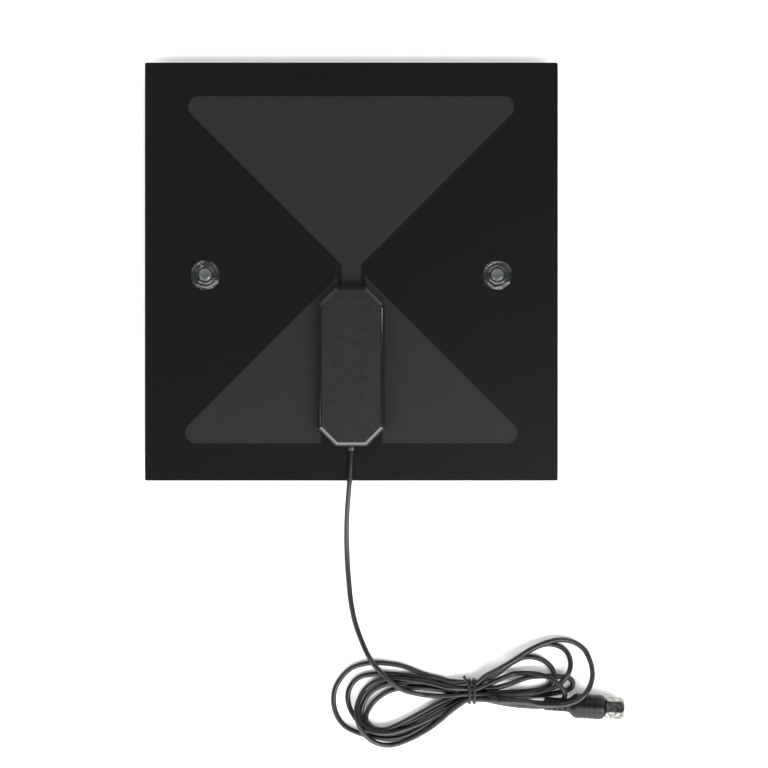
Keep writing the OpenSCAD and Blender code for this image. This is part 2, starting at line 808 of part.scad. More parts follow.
module plug_pin() {
    color([0.80, 0.66, 0.36]) on_plug_axis() rotate_extrude() polygon([
        [0, sleeve_rear], [pin_root_d / 2, sleeve_rear], [pin_root_d / 2, sleeve_front],
        [pin_d / 2, sleeve_front], [pin_d / 2, pin_tip - pin_chamfer],
        [pin_d / 2 - pin_chamfer, pin_tip], [0, pin_tip]
    ]);
}

// Hexagonal nut with chamfered ends, held behind the sleeve's flange by its rear web
module coupling_nut() {
    corner = nut_af / sqrt(3);
    face = nut_af / 2 - nut_face_inset;
    color([0.78, 0.78, 0.80]) on_plug_axis() difference() {
        intersection() {
            translate([0, 0, nut_rear]) rotate(15) cylinder(r = corner, h = nut_l, $fn = 6);
            rotate_extrude() polygon([
                [0, nut_rear], [face, nut_rear], [corner + 0.2, nut_rear + nut_chamfer],
                [corner + 0.2, nut_front - 1.5 * nut_chamfer], [face, nut_front], [0, nut_front]
            ]);
        }
        translate([0, 0, nut_rear - 1]) cylinder(d = neck_d + 2 * nut_play, h = nut_l);
        translate([0, 0, nut_rear + nut_web]) cylinder(d = nut_bore_d, h = nut_l);
    }
}

front_film();
back_film();
upper_element();
lower_element();
housing_cover();
housing_base();
housing_screws();
circuit_board();
foil_contacts();
balun_core();
balun_winding();
chip_capacitors();
cable_clamp();
coax_jacket_end();
coax_braid_end();
coax_dielectric_end();
coax_core_end();
cable_grommet();
suction_cup_left();
suction_cup_right();
coax_lead();
coax_hank();
coax_tail();
twist_tie();
plug_boot();
plug_sleeve();
plug_insulator();
plug_pin();
coupling_nut();
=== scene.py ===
# %% [markdown]
# # Flat indoor television antenna
# A dark film sheet carries two foil elements and a small plastic housing. Two clear suction cups sit in
# the sheet, and a thin black cable, tied in a hank, ends in a screw-on plug.
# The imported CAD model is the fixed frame: it gives every size and place, and this file gives the looks.

# %% Load the frame
import math

import bmesh
import bpy
import numpy as np
from mathutils import Matrix, Vector


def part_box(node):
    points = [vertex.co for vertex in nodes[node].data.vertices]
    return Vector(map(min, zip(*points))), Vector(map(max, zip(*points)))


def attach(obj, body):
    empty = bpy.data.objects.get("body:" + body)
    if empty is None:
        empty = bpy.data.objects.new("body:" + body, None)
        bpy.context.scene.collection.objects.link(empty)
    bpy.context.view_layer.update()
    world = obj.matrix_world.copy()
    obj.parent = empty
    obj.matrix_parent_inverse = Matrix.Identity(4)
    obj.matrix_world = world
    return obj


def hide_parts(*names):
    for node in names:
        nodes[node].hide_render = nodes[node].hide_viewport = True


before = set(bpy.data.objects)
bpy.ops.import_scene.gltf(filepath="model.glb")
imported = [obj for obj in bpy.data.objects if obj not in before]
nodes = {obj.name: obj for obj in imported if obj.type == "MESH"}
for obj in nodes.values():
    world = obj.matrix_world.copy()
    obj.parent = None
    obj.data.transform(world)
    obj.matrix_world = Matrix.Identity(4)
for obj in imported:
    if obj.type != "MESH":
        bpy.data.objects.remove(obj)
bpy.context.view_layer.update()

MM = 0.001
print("nodes in the frame:", len(nodes))

# %% [markdown]
# ## Small helpers
# Lengths below are in millimetres, because that is how the object is measured. Blender works in metres,
# so one helper turns a list of millimetre points into vectors in metres. The others put an object in the
# scene, build a mesh from points and faces, apply modifiers, set smooth shading, turn a hex colour to
# linear, and add one node with its settings and links.

# %% Helpers
def metres(points):
    """Millimetre points as vectors in metres."""
    return [Vector(p) * MM for p in points]


def placed(name, data):
    """A new object in the scene, from a mesh, a curve, a lamp or a camera."""
    made = bpy.data.objects.new(name, data)
    bpy.context.scene.collection.objects.link(made)
    return made


def new_piece(name, points, faces, smooth=True):
    """A mesh object in the shared frame, from millimetre points."""
    mesh = bpy.data.meshes.new(name)
    mesh.from_pydata(metres(points), [], faces)
    mesh.update()
    if smooth:
        mesh.shade_smooth()
    return placed(name, mesh)


def finished(work, name):
    """Turns a bmesh into a mesh and frees it."""
    mesh = bpy.data.meshes.new(name)
    work.to_mesh(mesh)
    work.free()
    return mesh


def evaluated(piece):
    """The mesh that an object's modifiers or curve settings make of it."""
    return bpy.data.meshes.new_from_object(piece.evaluated_get(bpy.context.evaluated_depsgraph_get()))


def apply_modifiers(piece):
    """Keeps what the modifiers make as the object's own mesh, and removes them."""
    result = evaluated(piece)
    piece.modifiers.clear()
    piece.data = result


def smooth(piece, degrees):
    """Smooth shading, with the edges that bend more than this kept sharp."""
    piece.data.shade_smooth()
    piece.data.set_sharp_from_angle(angle=math.radians(degrees))


def linear(hex_colour):
    """An sRGB hex colour as linear RGBA."""
    channels = [int(hex_colour[i:i + 2], 16) / 255 for i in (1, 3, 5)]
    curve = [c / 12.92 if c <= 0.04045 else ((c + 0.055) / 1.055) ** 2.4 for c in channels]
    return (*curve, 1.0)


def add(tree, kind, inputs=None, **settings):
    """Adds one node, with its settings, and sets or links its inputs."""
    made = tree.nodes.new(kind)
    for name, value in settings.items():
        setattr(made, name, value)
    for name, value in (inputs or {}).items():
        if isinstance(value, bpy.types.NodeSocket):
            tree.links.new(value, made.inputs[name])
        else:
            made.inputs[name].default_value = value
    return made


def per_metre(size_mm):
    """Noise scale that gives features of this size, in millimetres."""
    return 1 / (size_mm * MM)


# %% [markdown]
# ## Camera
# The photograph looks straight down on the antenna. A long lens far above keeps the sheet's edges
# parallel, and the whole frame is 446 mm wide at the height of the sheet.

# %% Camera
FRAME_WIDTH = 446.4
FRAME_CENTRE = (18.95, -65.3)
SHEET_HEIGHT = 7.5
LENS = 100
SENSOR = 36

camera_data = bpy.data.cameras.new("camera")
camera_data.lens = LENS
camera_data.sensor_width = SENSOR
camera_data.clip_end = 20
camera = placed("camera", camera_data)
camera.location = metres([(*FRAME_CENTRE, SHEET_HEIGHT + FRAME_WIDTH * LENS / SENSOR)])[0]
bpy.context.scene.camera = camera
print("camera height, m:", round(camera.location.z, 3))

# %% [markdown]
# ## Cable: the route
# The cable is one length of thin coaxial cable. It leaves the housing, falls to the table, runs through
# a hank of five turns on each side of a twist tie, and ends in the plug. The turns aren't a round coil,
# so each is a short list of points, and a smooth curve joins them.
# The two stretches that stand free of the hank repeat the points of the part's source.

# %% Cable points, in millimetres
CABLE_D = 3.0
LEAD = [
    (0, -104, 10.4), (-0.2, -110, 10.4), (-1, -121, 9.9), (-2, -133, 7.9), (-2.7, -145, 5.2),
    (-2.8, -157, 3), (-2.4, -169, 1.9), (-1.6, -180, 1.5), (-0.4, -192, 1.5), (1.8, -203.5, 1.5),
    (4.6, -212, 1.7), (8, -220, 2.4), (11.8, -227, 3.6)]
TAIL = [(101, -249.4, 4.8), (104, -250.1, 5.9), (107.5, -250.7, 6.9), (112, -251.05, 7.2)]
LEAD_ON_HANK = [
    (15.5, -231.5), (20, -236), (24.5, -240), (30, -243.5), (36.5, -245.5), (43, -246.7), (50, -247),
    (57.5, -246.5)]
TAIL_ON_HANK = [(81, -247.3), (87, -247.8), (94, -248.6)]
LEFT_TURNS = {
    "outer": [
        (57.5, -238.8), (52, -237.2), (46, -235.8), (40, -233.8), (31.5, -230.5), (24, -228.8),
        (15.5, -228), (8.5, -228.5), (2, -230.2), (-2.5, -233), (-6.5, -237.5), (-9.5, -243),
        (-10.5, -249), (-10, -254.5), (-8, -260), (-4.5, -264.5), (0, -267.5), (6, -269.7),
        (14, -271.5), (21, -272.3), (28, -271.5), (35, -269), (42, -265), (49.5, -260.5),
        (57, -255.5)],
    "second": [
        (57.5, -240), (51.5, -238.5), (44, -237), (35.5, -236), (26.5, -235), (18.5, -234.5),
        (11, -235), (6, -236), (2.3, -238.2), (-0.5, -241.7), (-2, -246), (-2, -250.5), (-0.7, -255),
        (2.5, -260), (6.5, -264), (11, -267), (16, -268.3), (22, -268.5), (29, -267.2), (36, -265),
        (43.5, -261.7), (51, -257.7), (58.5, -253)],
    "low": [
        (57.5, -242), (51, -240.5), (41.5, -238.7), (32.5, -237.5), (24, -237), (17.5, -238),
        (12, -240.2), (7.5, -244), (4.5, -249), (3, -254.5), (3.5, -260.5), (5.5, -266), (9, -270.5),
        (13.5, -274), (19, -276), (24.5, -276), (31, -274), (38, -270.8), (45, -266.5),
        (51.5, -261.3), (58.5, -255)],
    "inner": [
        (57.5, -242.8), (51.5, -241.7), (42.5, -240.5), (33, -239.6), (25.5, -239.7), (19, -241),
        (13, -244), (9, -248), (6.4, -253), (5.7, -258), (7, -262), (10, -265), (14.5, -267),
        (20, -267.5), (26.5, -266), (34.5, -262.5), (43.5, -258), (52, -253.5), (60.5, -249.5)],
    "inmost": [
        (57.5, -244), (52, -243.4), (44, -242.6), (35.5, -242.4), (28.5, -243), (23.5, -244.2),
        (18.5, -246.5), (13.5, -250.5), (10, -255), (8.5, -258.5), (8.5, -261), (10, -263.5),
        (12.5, -265.5), (16.5, -266.7), (20.5, -266.5), (26, -264.5), (33, -261), (40.5, -257),
        (48, -253), (55, -249.7), (61, -247.5)]}
RIGHT_TURNS = {
    "outer": [
        (82, -248.4), (91.5, -248.9), (98, -249.5), (105, -250.3), (111.5, -251.1), (117.5, -251.2),
        (123, -250.7), (128, -249.4), (132, -247.5), (135, -244.9), (137.5, -241.5), (139.2, -237.6),
        (140, -233.5), (139.7, -229), (138.5, -225), (136.5, -221), (133.5, -218.2), (130, -216.2),
        (126, -215), (121, -214.5), (116, -215.3), (110.2, -217.2), (105, -219.4), (100.9, -221.7),
        (96.2, -224.5), (91.7, -227.2), (87, -229.8), (82.4, -232.3), (77.5, -235.2)],
    "second": [
        (80, -245.8), (87.5, -246.3), (96, -246.3), (104.5, -245.7), (111.5, -244.5), (117.5, -242.2),
        (122.3, -238.8), (125.5, -235), (127.3, -230.7), (127.5, -226.5), (126.4, -223),
        (124, -220), (120, -218), (115, -217.2), (111.3, -217.8), (107, -219.4), (102.1, -221.9),
        (96.9, -225), (93, -227.3), (88.4, -230.3), (84, -233), (79, -235.9)],
    "inner": [
        (80, -244.7), (88, -245), (96.5, -245), (104, -244.6), (110.5, -243.5), (114.7, -241.5),
        (117, -239), (118, -236.3), (117.8, -233), (116, -230), (113, -227.3), (110, -225.8),
        (107, -225), (103.9, -224.7), (100.2, -225.1), (96.9, -226.4), (93, -228.6), (88.4, -231.7),
        (84.6, -234.2), (79.2, -237)],
    "low": [
        (80, -249.4), (87.5, -250.7), (95.5, -252.3), (104, -253.5), (111.5, -253.6),
        (117.5, -252.5), (121.5, -250.5), (123.6, -248), (124, -246), (122.8, -242.8),
        (120, -239.3), (115.5, -236.3), (109, -234.3), (102.1, -233.8), (94.6, -234.4), (89, -236),
        (83.5, -238.2), (79, -240)],
    "flat": [
        (81, -247.2), (89, -247.8), (99, -248), (108, -247.5), (117.5, -246.2), (124.5, -244.6),
        (128, -242.8), (129.2, -240.7), (128.9, -238.7), (127, -237), (123.5, -236), (116, -235.5),
        (107.6, -235.9), (102.1, -236.9), (96.5, -238.7), (89.5, -240.7), (83, -242)]}

# %% [markdown]
# ## Cable: through the tie
# Eleven strands pass through the tie, in three rows like stacked pipes. Each has a slot, which says how
# far it lies across the bundle and how high. The travel list says which turn comes next and by which
# slot the cable gets there. Left turns are entered by their upper arm, and right turns by their lower one.

# %% Tie slots and the order of travel
TIE_X, TIE_Y = 70, -244.1
TIE_HALF = 2.4
LOW_ROW, MIDDLE_ROW, TOP_ROW = 2.2, 4.8, 7.4
SLOTS = {
    "a": (4.6, LOW_ROW), "b": (1.5, LOW_ROW), "c": (-1.5, LOW_ROW), "d": (-4.6, LOW_ROW),
    "e": (3.1, MIDDLE_ROW), "f": (0, MIDDLE_ROW), "g": (-3.1, MIDDLE_ROW),
    "h": (4.6, TOP_ROW), "i": (1.5, TOP_ROW), "j": (-1.6, TOP_ROW), "k": (-4.6, TOP_ROW)}
TRAVEL = [
    ("lead", "j"), ("right second", "e"), ("left inmost", "f"), ("right flat", "b"),
    ("left inner", "c"), ("right inner", "a"), ("left outer", "d"), ("right low", "i"),
    ("left low", "k"), ("right outer", "h"), ("left second", "g"), ("tail", None)]
BOTTOM_TO_TOP = [
    "left outer", "left inner", "left inmost", "left second", "left low", "lead",
    "right inner", "right flat", "right second", "right low", "tail", "right outer"]


def strand_plan(name):
    """The points of one strand seen from above."""
    if name == "lead":
        return [p[:2] for p in LEAD] + LEAD_ON_HANK
    if name == "tail":
        return TAIL_ON_HANK + [p[:2] for p in TAIL]
    side, turn = name.split()
    return (LEFT_TURNS if side == "left" else RIGHT_TURNS)[turn]


def cable_plan():
    """Every plan point in order, with the number of its strand, and the strands' two slot heights."""
    points, owners, ends = [], [], []
    height = LEAD[0][2]
    for number, (name, slot) in enumerate(TRAVEL):
        points += strand_plan(name)
        owners += [number] * len(strand_plan(name))
        leaving = SLOTS[slot][1] if slot else TAIL[-1][2]
        ends.append((height, leaving))
        height = leaving
        if slot:
            going = -1 if name.startswith("right") else 1
            y = TIE_Y + SLOTS[slot][0]
            points += [(TIE_X - going * TIE_HALF, y), (TIE_X + going * TIE_HALF, y)]
            owners += [number, number + 1]
    return np.array(points, float), np.array(owners), ends


def catmull_rom(a, b, c, d, t):
    """The point at a share t of the way from b to c, on a smooth curve through four points."""
    return 0.5 * (2 * b + (c - a) * t + (2 * a - 5 * b + 4 * c - d) * t ** 2
                  + (3 * b - a - 3 * c + d) * t ** 3)


def smooth_line(points, owners, spacing):
    """A Catmull-Rom curve through the points, at an even spacing, with the owner of each sample."""
    padded = np.vstack([2 * points[0] - points[1], points, 2 * points[-1] - points[-2]])
    steps = 16
    fine, owner = [], []
    for i in range(len(points) - 1):
        for t in np.arange(steps) / steps:
            fine.append(catmull_rom(*padded[i:i + 4], t))
            owner.append(owners[i] if t < 0.5 else owners[i + 1])
    fine = np.array(fine + [points[-1]])
    owner = np.array(owner + [owners[-1]])
    run = np.concatenate([[0], np.cumsum(np.linalg.norm(np.diff(fine, axis=0), axis=1))])
    places = np.linspace(0, run[-1], int(run[-1] / spacing) + 1)
    line = np.stack([np.interp(places, run, fine[:, k]) for k in range(2)], axis=1)
    return line, owner[np.clip(np.searchsorted(run, places), 0, len(run) - 1)]


SPACING = 1.0
plan_points, plan_owners, slot_heights = cable_plan()
plan, owner = smooth_line(plan_points, plan_owners, SPACING)
print("cable samples:", len(plan))

# %% [markdown]
# ## Cable: the heights
# A real hank settles under its own weight: the lowest strand lies on the table, and each of the others
# lies on what it crosses and comes down again in a long low hump. The strands are therefore laid one at
# a time, from the lowest to the highest. A strand is lifted where it crosses one that lies already, the
# lift is spread along it by a parabola as stiff as the cable, and it is pulled to its slot at the tie. That
# pull comes last, so strands that meet close to the tie still press into each other a little.

# %% Lay the strands
TOUCH = 2.8          # distance between the middles of two strands that touch, squeezed a little
BEND_RADIUS = 26     # radius at the top of a hump
TIE_REACH = 16       # how far from the tie its pull ends
PLUG_TURN = math.radians(-3.8)
PLUG_START = np.array(TAIL[-1][:2])
PLUG_HEIGHT = TAIL[-1][2]
PLUG_STATIONS = [(-1.5, 0), (0, 3.9), (13.4, 3.9), (18.4, 7.2), (35, 7.2), (36, 0)]


def over_plug(line):
    """The lowest height at which a cable clears the plug, or 0 where it isn't above it."""
    along = np.array([math.cos(PLUG_TURN), math.sin(PLUG_TURN)])
    station = (line - PLUG_START) @ along
    side = np.abs((line - PLUG_START) @ np.array([-along[1], along[0]]))
    radius = np.interp(station, *zip(*PLUG_STATIONS)) + CABLE_D / 2
    inside = (side < radius) & (station > PLUG_STATIONS[0][0]) & (station < PLUG_STATIONS[-1][0])
    return np.where(inside, PLUG_HEIGHT + np.sqrt(np.maximum(radius ** 2 - side ** 2, 0)), 0)


def lowest_height(name, line):
    """The height that a strand has before it meets another one."""
    base = np.full(len(line), CABLE_D / 2)
    if name == "lead":
        lead = np.array(LEAD)
        base = np.maximum(base, np.interp(-line[:, 1], -lead[:, 1], lead[:, 2]))
        base[line[:, 0] > LEAD[-1][0]] = CABLE_D / 2
    if name == "tail":
        tail = np.array(TAIL)
        base = np.interp(line[:, 0], tail[:, 0], tail[:, 2])
    if name == "right outer":
        base = np.maximum(base, over_plug(line))
    return base


def drape(height):
    """Spreads each high point along the strand, as a stiff cable does."""
    lifted = height.copy()
    for step in range(1, 40):
        drop = (step * SPACING) ** 2 / (2 * BEND_RADIUS)
        lifted[step:] = np.maximum(lifted[step:], height[:-step] - drop)
        lifted[:-step] = np.maximum(lifted[:-step], height[step:] - drop)
    return lifted


def soften(values, times):
    """Rounds a row of values off, with its two ends kept."""
    for _ in range(times):
        values[1:-1] += 0.25 * (values[:-2] + values[2:] - 2 * values[1:-1])
    return values


heights = np.zeros(len(plan))
laid = np.zeros(len(plan), bool)
numbers = {name: i for i, (name, slot) in enumerate(TRAVEL)}
for name in BOTTOM_TO_TOP:
    mine = np.flatnonzero(owner == numbers[name])
    line = plan[mine]
    height = lowest_height(name, line)
    gap = np.linalg.norm(line[:, None] - plan[laid][None], axis=2)
    lift = np.where(gap < TOUCH, heights[laid] + np.sqrt(np.maximum(TOUCH ** 2 - gap ** 2, 0)), 0)
    if lift.size:
        height = np.maximum(height, lift.max(axis=1))
    height = soften(drape(height), 8)
    share = np.clip((np.abs(line[:, 0] - TIE_X) - TIE_HALF) / (TIE_REACH - TIE_HALF), 0, 1)
    share = share * share * (3 - 2 * share)
    first, last = slot_heights[numbers[name]]
    slot_height = np.where(np.arange(len(mine)) < len(mine) / 2, first, last)
    if name == "lead":
        slot_height[:] = last
    if name == "tail":
        slot_height[:] = first
    heights[mine] = height * share + slot_height * (1 - share)
    laid[mine] = True

heights = soften(heights, 3)
route = np.column_stack([plan, heights])
route[0] = LEAD[0]
route[-1] = TAIL[-1]

# %% [markdown]
# ## Materials: how they are made
# Every finish starts from a Principled shader. Its patterns run on Object coordinates, which are metres
# on the object, so a grain of 0.4 mm is 0.4 mm everywhere. Four small functions make what the finishes
# share: a noise, a stretched range of values, a relief and a mix of two colours.

# %% Material helpers
def new_material(name, colour, roughness, **sockets):
    """A Principled material with its plain values set. Returns the material, its tree and its shader."""
    material = bpy.data.materials.new(name)
    material.use_nodes = True
    tree = material.node_tree
    shader = tree.nodes["Principled BSDF"]
    shader.inputs["Base Color"].default_value = linear(colour)
    shader.inputs["Roughness"].default_value = roughness
    for socket, value in sockets.items():
        shader.inputs[socket.replace("_", " ")].default_value = value
    return material, tree, shader


def on_object(tree):
    """The Object coordinates."""
    return add(tree, "ShaderNodeTexCoord").outputs["Object"]


def noise(tree, where, size_mm, detail):
    """A noise whose features have this size, in millimetres."""
    return add(tree, "ShaderNodeTexNoise", {
        "Vector": where, "Scale": per_metre(size_mm), "Detail": detail}).outputs["Fac"]


def stretched(tree, value, low, high, start=0, end=1):
    """Maps the range from start to end onto the range from low to high."""
    return add(tree, "ShaderNodeMapRange", {
        "Value": value, "From Min": start, "From Max": end, "To Min": low, "To Max": high}).outputs["Result"]


def relief(tree, shader, height, strength, depth_mm):
    """Gives the surface bumps of this depth, in millimetres."""
    bump = add(tree, "ShaderNodeBump", {"Height": height, "Strength": strength, "Distance": depth_mm * MM})
    tree.links.new(bump.outputs["Normal"], shader.inputs["Normal"])


def two_tones(tree, shader, share, first, second):
    """Mixes two linear colours into the surface's colour."""
    mixed = add(tree, "ShaderNodeMix", {"Factor": share, "A": first, "B": second}, data_type="RGBA")
    tree.links.new(mixed.outputs["Result"], shader.inputs["Base Color"])


def grained(name, colour, roughness, size_mm, strength, depth_mm, **sockets):
    """A material of one colour with an even grain."""
    material, tree, shader = new_material(name, colour, roughness, **sockets)
    relief(tree, shader, noise(tree, on_object(tree), size_mm, 2), strength, depth_mm)
    return material


def wear(piece, material):
    """Gives a piece one material over its whole surface."""
    piece.data.materials.clear()
    piece.data.materials.append(material)


# %% [markdown]
# ## Black plastics and rubbers
# The cable's jacket and the plug's grip are soft PVC: black, a little glossy, with the faint unevenness
# of an extruded or moulded skin. The housing is moulded ABS with a spark-eroded texture, so its face is
# matt and very slightly mottled, and the slope round the face is polished for part of its height.

# %% Jacket and housing
def extruded_pvc():
    # Soft black PVC: the skin wanders a little, which breaks its highlight along the cable
    material, tree, shader = new_material("extruded_pvc", "#050506", 0.32, IOR=1.53,
                                          Specular_IOR_Level=0.36)
    skin = noise(tree, on_object(tree), 1.6, 3)
    relief(tree, shader, skin, 0.5, 0.06)
    tree.links.new(stretched(tree, skin, 0.26, 0.38), shader.inputs["Roughness"])
    return material


def textured_abs():
    # Spark-eroded ABS: a fine matt grain, and a barely visible mottle from the mould
    material, tree, shader = new_material("textured_abs", "#0D0D0E", 0.42, IOR=1.54,
                                          Specular_IOR_Level=0.28)
    where = on_object(tree)
    relief(tree, shader, noise(tree, where, 0.45, 3), 0.7, 0.03)
    two_tones(tree, shader, noise(tree, where, 4, 5), linear("#020203"), linear("#1B1B1C"))
    return material


POLISH_BLEND = 0.15  # half the height over which polish turns into texture


def polished_abs(polish_end):
    # The same plastic without grain, nearly a mirror. Below the polish's end the mould's texture begins
    material, tree, shader = new_material("polished_abs", "#0B0B0C", 0.16, IOR=1.54)
    where = on_object(tree)
    height = add(tree, "ShaderNodeSeparateXYZ", {"Vector": where}).outputs["Z"]
    ends = ((polish_end - POLISH_BLEND) * MM, (polish_end + POLISH_BLEND) * MM)
    gloss = stretched(tree, noise(tree, where, 9, 2), 0.12, 0.22)
    tree.links.new(stretched(tree, height, 0.42, gloss, *ends), shader.inputs["Roughness"])
    tree.links.new(stretched(tree, height, 0.14, 0.5, *ends), shader.inputs["Specular IOR Level"])
    return material


# %% [markdown]
# ## Films, foil and metal
# The sheet is a sandwich. The back film is black PET. The elements are aluminium foil with a dark
# lacquer. The front film is smoked PET that is half clear, so the foil shows through it as a grey shape.
# The nut and the sleeve are nickel-plated brass: a warm silver with hazy patches where hands dulled it.

# %% Films, foil and plating
def black_pet():
    # Black polyester film, satin, with shallow waves from the laminating rollers
    material, tree, shader = new_material("black_pet_film", "#060607", 0.3, IOR=1.57)
    waves = noise(tree, on_object(tree), 60, 1)
    tree.links.new(stretched(tree, waves, 0.27, 0.33), shader.inputs["Roughness"])
    return material


def lacquered_foil():
    # Rolled aluminium under a grey lacquer: streaks 0.6 mm wide run with the rolling
    material, tree, shader = new_material("lacquered_foil", "#676768", 0.45, Metallic=0.3)
    rolled = add(tree, "ShaderNodeMapping", {"Vector": on_object(tree), "Scale": (1, 0.04, 1)})
    streaks = noise(tree, rolled.outputs["Vector"], 0.6, 2)
    two_tones(tree, shader, streaks, linear("#606061"), linear("#6D6D6E"))
    return material


HAZE_EDGES = (0.38, 0.66)
DULL_SHARE = 0.24


def plated_metal(name, colour, roughness):
    # Plating that has been handled: hazy patches of about two millimetres, darker where it has dulled
    material, tree, shader = new_material(name, colour, roughness, Metallic=1.0)
    haze = noise(tree, on_object(tree), 2, 3)
    bright = linear(colour)
    dull = tuple(DULL_SHARE * channel for channel in bright[:3]) + (1,)
    two_tones(tree, shader, stretched(tree, haze, 0, 1, *HAZE_EDGES), dull, bright)
    gloss = stretched(tree, haze, roughness + 0.1, roughness - 0.06)
    tree.links.new(gloss, shader.inputs["Roughness"])
    relief(tree, shader, haze, 0.6, 0.05)
    return material


# %% [markdown]
# ## Who wears what
# The suction cups are clear soft PVC, which bends light like glass and keeps a faint grey tint. Nothing
# shows the parts inside the housing while it is closed, but each has the finish of its real material:
# solder mask on the board, sintered ferrite, enamelled copper, and the cable's braid and insulation.

# %% Finishes of the pieces
def solid_finish(name, colour, other, size_mm, roughness, **sockets):
    """A material whose colour wanders between two close tones, in patches of a given size."""
    material, tree, shader = new_material(name, colour, roughness, **sockets)
    two_tones(tree, shader, noise(tree, on_object(tree), size_mm, 3), linear(colour), linear(other))
    return material


pvc_jacket = extruded_pvc()
pvc_grip = grained("moulded_pvc", "#040405", 0.36, 0.3, 0.6, 0.03, IOR=1.53, Specular_IOR_Level=0.22)
polyethylene_tie = grained("tie_polyethylene", "#030303", 0.34, 0.5, 0.5, 0.03, Specular_IOR_Level=0.3)
abs_textured = textured_abs()
pet_black = black_pet()
pet_smoked = grained("smoked_pet_film", "#050506", 0.26, 12, 0.4, 0.05, IOR=1.57, Alpha=0.45)
foil = lacquered_foil()
pvc_clear = grained("clear_pvc", "#E6EAEC", 0.04, 2.5, 0.3, 0.08, IOR=1.53, Specular_IOR_Level=0.9,
                    Transmission_Weight=1.0)
nickel = plated_metal("nickel_plate", "#AAA8A4", 0.2)
brass = plated_metal("gold_flashed_brass", "#C9A45C", 0.24)
zinc = plated_metal("zinc_plated_steel", "#A9ABAD", 0.34)
copper = plated_metal("enamelled_copper", "#A4552A", 0.3)
node_finishes = {
    "back_film": pet_black, "upper_element": foil, "lower_element": foil,
    "housing_cover": abs_textured, "housing_base": abs_textured, "housing_screws": zinc,
    "circuit_board": solid_finish("solder_mask", "#123A20", "#16472A", 4, 0.35),
    "foil_contacts": brass,
    "balun_core": solid_finish("sintered_ferrite", "#2B2A2A", "#353333", 0.5, 0.7),
    "balun_winding": copper,
    "chip_capacitors": solid_finish("barium_titanate", "#8D7A61", "#9C8970", 0.4, 0.5),
    "cable_clamp": zinc,
    "coax_jacket_end": pvc_jacket,
    "coax_braid_end": plated_metal("tinned_braid", "#B5B0A8", 0.4),
    "coax_dielectric_end": solid_finish("white_polyethylene", "#E8E8E2", "#DEDED8", 2, 0.45,
                                        Subsurface_Weight=0.2, Subsurface_Scale=0.0005),
    "coax_core_end": copper, "cable_grommet": pvc_jacket, "twist_tie": polyethylene_tie,
    "plug_boot": pvc_grip, "plug_sleeve": nickel, "plug_pin": brass, "coupling_nut": nickel}
node_finishes["plug_insulator"] = node_finishes["coax_dielectric_end"]
for name, material in node_finishes.items():
    wear(nodes[name], material)
print("materials:", len(bpy.data.materials))

# %% [markdown]
# ## Cable: the piece
# One open poly curve with a round bevel is the simplest true tube: the curve is the cable's own middle
# line, and the bevel gives it its thickness. It is turned into a mesh.

# %% Cable
def curve_tube(name, line, radius, resolution=7):
    """A round tube along a line of millimetre points, as a plain mesh."""
    curve = bpy.data.curves.new(name, "CURVE")
    curve.dimensions = "3D"
    curve.bevel_depth = radius * MM
    curve.bevel_resolution = resolution
    curve.use_fill_caps = True
    spline = curve.splines.new("POLY")
    spline.points.add(len(line) - 1)
    for point, place in zip(spline.points, metres(line)):
        point.co = (*place, 1)
    drawn = placed(name + "_curve", curve)
    mesh = evaluated(drawn)
    bpy.data.objects.remove(drawn)
    mesh.shade_smooth()
    return placed(name, mesh)


cable = curve_tube("coaxial_cable", route, CABLE_D / 2)
wear(cable, pvc_jacket)
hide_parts("coax_lead", "coax_hank", "coax_tail")
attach(cable, "antenna")
print("cable faces:", len(cable.data.polygons))

# %% [markdown]
# ## Sheet: the smoked front film
# The film is a flat plate with holes for the cups' necks and for the housing's bosses and contacts. It
# floats a twentieth of a millimetre above the foil, so no two faces lie in the same plane.

# %% Front film
def ring(centre, radius, count=40):
    """Points round a circle."""
    turns = [2 * math.pi * i / count for i in range(count)]
    return [(centre[0] + radius * math.cos(t), centre[1] + radius * math.sin(t)) for t in turns]


def plate(name, outline, holes, low, high):
    """A flat plate with holes, between two heights."""
    work = bmesh.new()
    edges = []
    for loop in [outline, *holes]:
        corners = [work.verts.new(Vector((x, y, low)) * MM) for x, y in loop]
        edges += [work.edges.new((corners[i - 1], corners[i])) for i in range(len(corners))]
    filled = bmesh.ops.triangle_fill(work, edges=edges, use_beauty=True, use_dissolve=False)
    faces = [f for f in filled["geom"] if isinstance(f, bmesh.types.BMFace)]
    grown = bmesh.ops.extrude_face_region(work, geom=faces)
    top = [v for v in grown["geom"] if isinstance(v, bmesh.types.BMVert)]
    bmesh.ops.translate(work, vec=(0, 0, (high - low) * MM), verts=top)
    bmesh.ops.recalc_face_normals(work, faces=work.faces)
    return placed(name, finished(work, name))


def rounded_rectangle(low, high, radius, steps=8):
    """The outline of a rectangle with round corners."""
    points = []
    left, bottom, right, top = low[0] + radius, low[1] + radius, high[0] - radius, high[1] - radius
    for quarter, (x, y) in enumerate([(right, top), (left, top), (left, bottom), (right, bottom)]):
        for i in range(steps + 1):
            turn = math.pi / 2 * (quarter + i / steps)
            points.append((x + radius * math.cos(turn), y + radius * math.sin(turn)))
    return points


def box_mm(name):
    """A CAD node's box in millimetres."""
    low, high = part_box(name)
    return low / MM, high / MM


